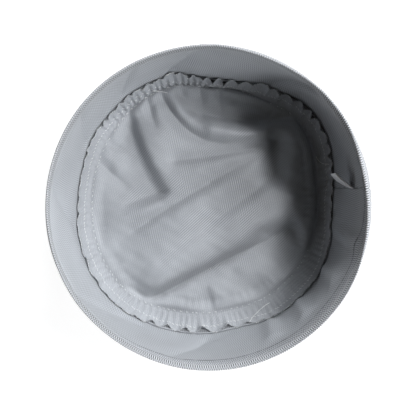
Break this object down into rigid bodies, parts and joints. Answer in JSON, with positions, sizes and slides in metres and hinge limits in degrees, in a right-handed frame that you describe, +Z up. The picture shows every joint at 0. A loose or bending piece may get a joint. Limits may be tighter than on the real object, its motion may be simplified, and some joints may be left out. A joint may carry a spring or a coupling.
{
  "type": "kufi",
  "caption": "Soft round cloth cap with a tall upright band and a flat crown, lying on its crown with the open lined hollow up.",
  "frame": {"origin": "on the surface that the cap lies on, under the middle of the crown", "axes": "+Z up, out of the open mouth; +X to the right and +Y to the top of the picture, which looks down into the cap"},
  "size_m": [0.1902, 0.1881, 0.09],
  "materials": {
    "suiting": "fine black and white twill suiting, matt",
    "lining": "pale bluish grey twill, matt",
    "label": "bare white satin tape"
  },
  "bodies": {
    "root": {"outer_band": "suiting", "inner_band": "lining", "outer_crown": "suiting", "crown_lining": "lining", "label": "label"}
  },
  "joints": []
}
